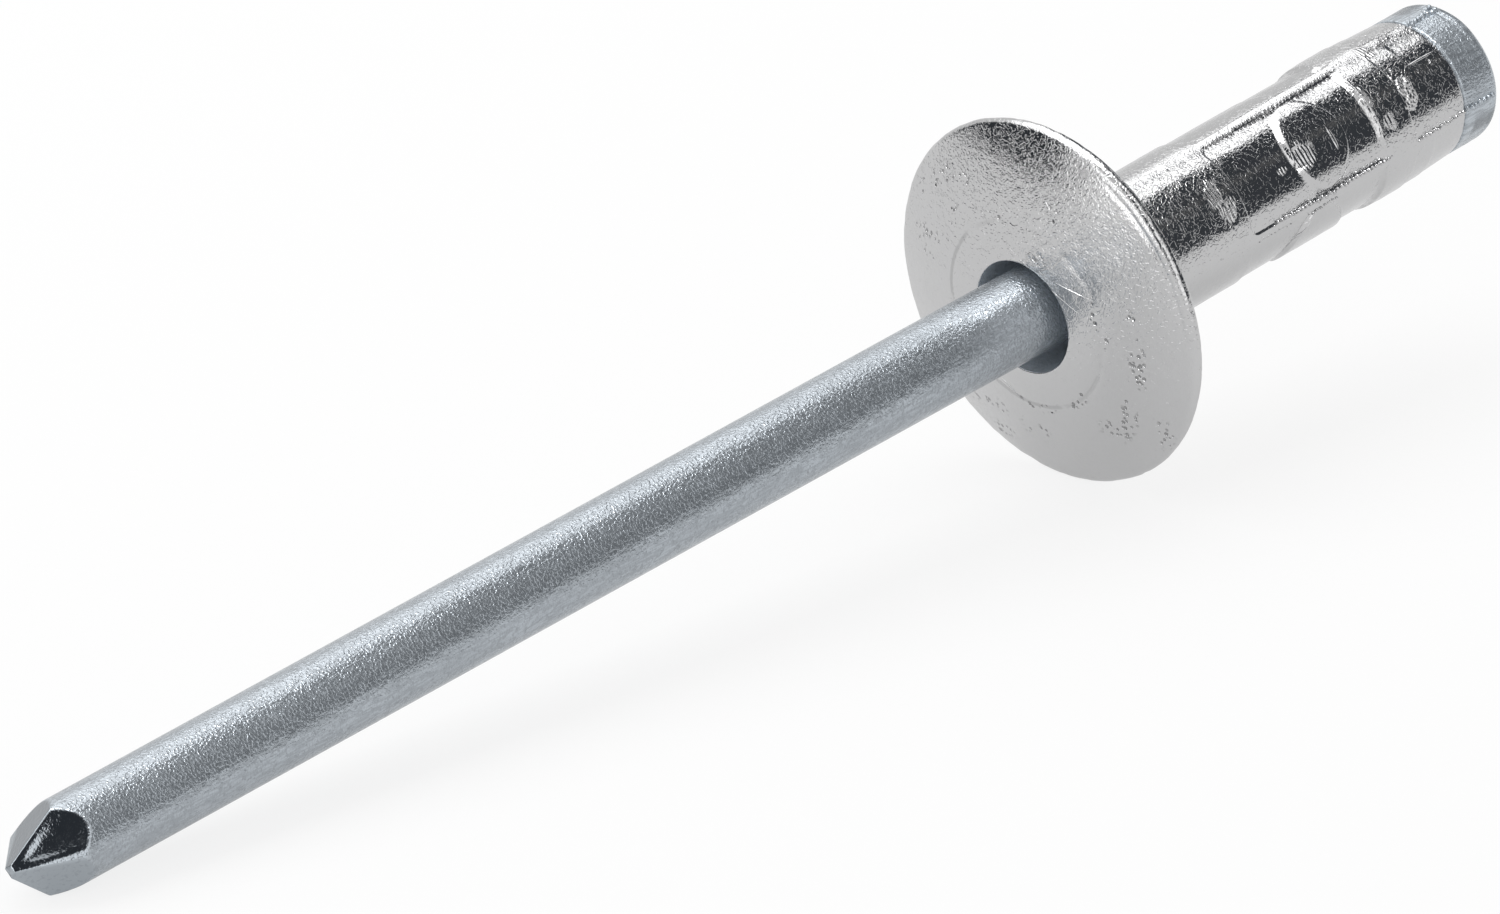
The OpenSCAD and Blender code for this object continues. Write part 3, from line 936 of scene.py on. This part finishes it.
class RIVET_OT_body(bpy.types.Operator):
    """Build the crimped aluminium body as one closed skin"""

    bl_idname = "rivet.body"
    bl_label = "Rivet Body"

    def execute(self, context):
        s = millimetres(context.scene.rivet_body)
        metal = aluminium(s)
        blocks = [add_unevenness(s, block) for block in body_blocks(s)]
        piece = closed_mesh("crimped_body", blocks, True, metal, body_masks)
        teeth = teeth_piece("tube_teeth", parting_paths(s)[0], s, 3, metal)
        for part in (piece, teeth):
            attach(part, "root")
        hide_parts("rivet_body")
        return {"FINISHED"}


# ---------------------------------------------------------------- mandrel

# Turns of the four pressed facets. They aren't quite a quarter apart.
FACETS = (134.5, 55.0, 213.0, 315.0)
BEVEL_AT = 156.0


def tip_radius(s, x, turn, tip_at):
    """Distance from the wire's axis to its skin, with four pressed facets at the point."""
    out = s.tip_blunt / 2 + (x - tip_at) * math.tan(s.tip_angle)
    radius = 0 * turn + s.mandrel_d / 2 - 0.006
    degrees = np.degrees(turn)
    # the near facet's lower edge is a slightly ragged bevel
    bevel = 1.12 + 0.0012 * np.sin(x * 23.0)
    k = s.edge_r
    for centre in (*FACETS, BEVEL_AT):
        off = np.cos(turn - math.radians(centre)) / (bevel if centre == BEVEL_AT else 1.0)
        hollow = 0.0
        if centre == FACETS[0]:
            lateral = np.radians(degrees - centre) * s.mandrel_d / 2
            hollow = 0.035 * smooth(1 - ((x - tip_at - 0.95) / 0.8) ** 2 - (lateral / 0.62) ** 2)
        facet = np.where(off > 0.05, out / np.maximum(off, 0.05), 9.0) - hollow
        gap = np.clip(0.5 + 0.5 * (radius - facet) / k, 0, 1)
        radius = radius * (1 - gap) + facet * gap - k * gap * (1 - gap)
    return np.maximum(radius, 0.03)


def mandrel_rings(s, dome_top, tube_len):
    around = 256
    turn = np.linspace(0, 2 * math.pi, around, endpoint=False)[None, :]
    tip_at = -(dome_top + s.reach)
    wire_r = s.mandrel_d / 2 - 0.006
    x = steps((tip_at, 0), (tip_at + 1.75, 0.025), (tip_at + 2.2, 0.15), (0.0, 1.0),
              (tube_len - s.neck_back - s.neck_w / 2, 2.0))[:, None]
    r = tip_radius(s, x, turn, tip_at)
    neck = tube_len - s.neck_back
    nx = np.array([neck - 0.12, neck, neck + 0.12, neck + s.neck_w / 2, tube_len - 0.02])
    nr = wire_r - np.clip(1 - np.abs(nx - neck) / (s.neck_w / 2), 0, 1) * (wire_r - s.neck_d / 2)
    shank = wire_point(
        np.concatenate([x + 0 * turn, nx[:, None] + 0 * turn]),
        np.concatenate([r, nr[:, None] + 0 * turn]),
        np.concatenate([turn + 0 * x, turn + 0 * nx[:, None]]),
    )
    head_r = s.head_d / 2
    back = tube_len + s.head_len
    profile = [(tube_len, 1.0 * wire_r + 0.3), (tube_len, head_r - s.head_bevel)]
    for a in np.radians([30, 60, 90]):
        profile.append((tube_len + s.head_bevel * (1 - math.cos(a)),
                        head_r - s.head_bevel * (1 - math.sin(a))))
    profile += [(h, head_r) for h in steps((tube_len + 0.1, 0), (back - s.head_round, 0.04))]
    for a in np.radians(steps((10.0, 0), (90.0, 10.0))):
        profile.append((back - s.head_round * (1 - math.sin(a)),
                        head_r - s.head_round * (1 - math.cos(a))))
    profile += [(back, 0.9), (back, 0.45), (back, 0.1)]
    px, pr = np.array(profile).T
    px, pr = px[:, None] + 0 * turn, pr[:, None] + 0 * turn
    crease = np.exp(-((px - back + 0.34) / 0.03) ** 2) * 0.012
    swell = waves(np.stack([px, pr * np.cos(turn), pr * np.sin(turn)], -1), 0.5, 11)
    side = smooth((pr - 1.2) / 0.2) * (px > tube_len + 0.04)
    pr = pr - (crease + 0.003 * (1 + swell)) * side
    return np.concatenate([shank, tube_point(px, pr, turn + 0 * px)])


def mandrel_masks(s, tip_at):
    """Where the point is pressed, and painted shade: dark bands along the head, standing in for dark
    reflections, and a darker upper facet.
    """
    def masks(points):
        from_cross = points - CROSS
        x = from_cross @ WIRE_AXIS
        far = np.linalg.norm(from_cross - x[:, None] * WIRE_AXIS, axis=1)
        pressed = smooth((s.mandrel_d / 2 - 0.012 - far) / 0.02) * (x < tip_at + 2.0)
        turn = np.arctan2(from_cross @ WIRE_UP, from_cross @ SIDE)
        # painted shade: two dark bands along the head at fixed turns, standing in for dark reflections
        dull = np.zeros(len(x))
        for centre, half in ((72.0, 9.0), (195.0, 9.0)):
            off = np.abs(off_centre(turn, centre)) / half - 1 + 0.2 * waves(points, 0.2, 31)
            dull = np.maximum(dull, inside(off, 1.2))
        dull = dull * smooth((x + CROSS_AT - 11.15) / 0.1)
        # the upper facet gets the same painted shade
        upper = pressed * inside(np.abs(off_centre(turn, FACETS[1])) / 40.0 - 1, 0.2)
        return {"facet": pressed, "dull": np.maximum(dull, upper)}
    return masks


class RIVET_OT_mandrel(bpy.types.Operator):
    """Build the mandrel with its pressed point, break neck and head"""

    bl_idname = "rivet.mandrel"
    bl_label = "Mandrel"

    def execute(self, context):
        s = millimetres(context.scene.rivet_mandrel)
        body = millimetres(context.scene.rivet_body)
        rings = mandrel_rings(s, body.dome_h, body.tube_len)
        tip_at = -(body.dome_h + s.reach) - CROSS_AT
        plated = zinc(s, body.tube_len - CROSS_AT)
        piece = closed_mesh("pointed_mandrel", [rings], False, plated, mandrel_masks(s, tip_at))
        teeth = teeth_piece("head_teeth", parting_paths(body)[1], body, 9, plated)
        for part in (piece, teeth):
            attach(part, "root")
        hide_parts("mandrel")
        return {"FINISHED"}


# ---------------------------------------------------------------- stage

def camera_axes(settings):
    """Unit vectors to the camera's right, up and back."""
    az, el = settings.azimuth, settings.elevation
    back = Vector((math.sin(az) * math.cos(el), -math.cos(az) * math.cos(el), math.sin(el)))
    right = Vector((math.cos(az), math.sin(az), 0.0))
    return right, back.cross(right), back


def add_camera(settings):
    right, up, back = camera_axes(settings)
    aim = Vector((settings.aim_x, 0.0, settings.aim_z))
    data = bpy.data.cameras.new("camera")
    data.sensor_fit = "HORIZONTAL"
    data.sensor_width = 36.0
    data.lens = settings.focal_px / PHOTO_WIDTH * data.sensor_width
    data.clip_start = 0.01
    data.clip_end = 50.0
    camera = bpy.data.objects.new("camera", data)
    turn = Matrix((right, up, back)).transposed().to_4x4()
    camera.matrix_world = Matrix.Translation(aim + back * settings.distance) @ turn
    bpy.context.scene.collection.objects.link(camera)
    bpy.context.scene.camera = camera


def add_floor(settings):
    """Pale floor that looks white to the camera and pale to metal, and keeps the shadow."""
    mesh = bpy.data.meshes.new("floor")
    half = 3.0
    mesh.from_pydata([(-half, -half, 0), (half, -half, 0), (half, half, 0), (-half, half, 0)],
                     [], [(0, 1, 2, 3)])
    material = bpy.data.materials.new("pale_floor")
    material.use_nodes = True
    material.node_tree.nodes.clear()
    tree = Tree(material.node_tree)
    path = tree.node("ShaderNodeLightPath")
    camera, glossy = path.out("Is Camera Ray"), path.out("Is Glossy Ray")
    matt = tree.node("ShaderNodeBsdfDiffuse", None, {"Color": rgba(settings.floor)})
    glow = tree.node("ShaderNodeEmission", None,
                     {"Color": (1, 1, 1, 1), "Strength": camera * 1.04 + glossy * 0.78})
    keep = camera * (1 - settings.shade) + glossy * 0.6
    both = tree.node("ShaderNodeMixShader", None, {0: keep, 1: matt, 2: glow})
    tree.node("ShaderNodeOutputMaterial", None, {"Surface": both})
    mesh.materials.append(material)
    floor = link_piece("floor", mesh)


def card_material(name, tint, strength):
    material = bpy.data.materials.get(name) or bpy.data.materials.new(name)
    material.use_nodes = True
    material.node_tree.nodes.clear()
    tree = Tree(material.node_tree)
    glow = tree.node("ShaderNodeEmission", None, {"Color": rgba(tint), "Strength": strength})
    tree.node("ShaderNodeOutputMaterial", None, {"Surface": glow})
    return material


def add_card(name, corners, tint, strength):
    """A card that only metal sees. It gives reflections and no light."""
    mesh = bpy.data.meshes.new(name)
    mesh.from_pydata([Vector(c) for c in corners], [], [tuple(range(len(corners)))])
    mesh.materials.append(card_material(name, tint, strength))
    card = link_piece(name, mesh)
    card.visible_camera = False
    card.visible_diffuse = False
    card.visible_shadow = False
    card.visible_transmission = False


def bearing(azimuth, elevation, distance, height=0.004):
    """A point at a distance, seen from the rivet at an azimuth and an elevation in degrees."""
    az, el = math.radians(azimuth), math.radians(elevation)
    flat = distance * math.cos(el)
    return (flat * math.cos(az), flat * math.sin(az), distance * math.sin(el) + height)


def window(azimuths, elevations, distance):
    """Corners of a card between two azimuths and two elevations."""
    (left, right), (low, high) = azimuths, elevations
    return [bearing(a, e, distance)
            for a, e in ((left, low), (right, low), (right, high), (left, high))]


def add_softbox(name, middle, size, look_at, strength):
    """A soft area light, invisible to the camera."""
    data = bpy.data.lights.new(name, "AREA")
    data.shape = "RECTANGLE"
    data.size, data.size_y = size
    data.energy = strength * math.pi * size[0] * size[1]
    lamp = bpy.data.objects.new(name, data)
    toward = Vector(middle) - Vector(look_at)
    lamp.rotation_euler = toward.to_track_quat("Z", "Y").to_euler()
    lamp.location = middle
    bpy.context.scene.collection.objects.link(lamp)
    lamp.visible_camera = False
    return lamp


def add_world(settings):
    world = bpy.data.worlds.new("room")
    bpy.context.scene.world = world
    world.use_nodes = True
    world.node_tree.nodes.clear()
    tree = Tree(world.node_tree)
    path = tree.node("ShaderNodeLightPath")
    seen = path.out("Is Camera Ray").math("MAXIMUM", path.out("Is Glossy Ray"))
    seen = seen.math("MAXIMUM", path.out("Is Transmission Ray"))
    room = tree.node("ShaderNodeBackground", None,
                     {"Color": (1, 1, 1, 1), "Strength": settings.fill})
    level = path.out("Is Camera Ray").math("MAXIMUM", settings.room)
    white = tree.node("ShaderNodeBackground", None, {"Color": (1, 1, 1, 1), "Strength": level})
    mixed = tree.node("ShaderNodeMixShader", None, {0: seen, 1: room, 2: white})
    tree.node("ShaderNodeOutputWorld", None, {"Surface": mixed})


class RIVET_OT_stage(bpy.types.Operator):
    """Build the pale floor, the soft light and the camera"""

    bl_idname = "rivet.stage"
    bl_label = "Stage"

    def execute(self, context):
        settings = context.scene.rivet_stage
        add_floor(settings)
        add_world(settings)
        top = 0.30
        low_x, high_x, front, back = -0.45, 0.62, 0.035, 0.36
        middle = ((low_x + high_x) / 2, (front + back) / 2, top)
        add_softbox("softbox_overhead", middle, (high_x - low_x, back - front),
                    (middle[0], middle[1], 0.0), settings.softbox)
        add_softbox("softbox_left", bearing(181, 13, 0.3), (0.17, 0.13),
                    (0.0, 0.0, 0.004), settings.softbox)
        grey, white = (0.8, 0.88, 1.0), (1.0, 1.0, 1.0)
        add_card("card_front", [(0.11, front, top), (0.9, front, top),
                                (0.9, -0.35, 0.003), (0.11, -0.35, 0.003)], grey, 0.06)
        add_card("card_right", window((8, 37), (0, 46), 0.4), grey, 0.1)
        add_card("card_camera", window((212, 245), (5, 58), 0.3), grey, 0.05)
        add_card("card_behind", window((100, 152), (-2, 30), 0.14), grey, 0.05)
        add_card("strip_front", window((-115, -84), (0, 62), 0.33), white, settings.softbox)
        add_card("strip_low", window((-123, -106), (4, 23), 0.28), white, settings.softbox)
        add_card("slit_front", window((-72, -18), (33.0, 37.6), 0.12), white, 0.12)
        add_card("lamp_over_flange", [(-0.12, -0.045, top), (0.05, -0.045, top),
                                      (0.05, front, top), (-0.12, front, top)], white, 11.0)
        context.scene.view_settings.view_transform = "Standard"
        add_camera(settings)
        return {"FINISHED"}


class RIVET_PT_panel(bpy.types.Panel):
    """Lists the rivet's pieces"""

    bl_label = "Blind Rivet"
    bl_idname = "RIVET_PT_panel"
    bl_space_type = "VIEW_3D"
    bl_region_type = "UI"
    bl_category = "Rivet"

    def draw(self, context):
        for operator, group in PIECES:
            box = self.layout.box()
            box.operator(operator)
            settings = getattr(context.scene, group)
            for prop in settings.bl_rna.properties:
                if prop.identifier not in {"rna_type", "name"}:
                    box.prop(settings, prop.identifier)


PIECES = (
    ("rivet.body", "rivet_body"),
    ("rivet.mandrel", "rivet_mandrel"),
    ("rivet.stage", "rivet_stage"),
)

CLASSES = (
    RivetBodySettings, MandrelSettings, StageSettings,
    RIVET_OT_body, RIVET_OT_mandrel, RIVET_OT_stage, RIVET_PT_panel,
)


def register():
    for cls in CLASSES:
        bpy.utils.register_class(cls)
    scene = bpy.types.Scene
    scene.rivet_body = bpy.props.PointerProperty(type=RivetBodySettings)
    scene.rivet_mandrel = bpy.props.PointerProperty(type=MandrelSettings)
    scene.rivet_stage = bpy.props.PointerProperty(type=StageSettings)


def unregister():
    for group in ("rivet_body", "rivet_mandrel", "rivet_stage"):
        delattr(bpy.types.Scene, group)
    for cls in reversed(CLASSES):
        bpy.utils.unregister_class(cls)


def main():
    register()
    bpy.ops.rivet.body()
    bpy.ops.rivet.mandrel()
    bpy.ops.rivet.stage()


if __name__ == "__main__":
    main()
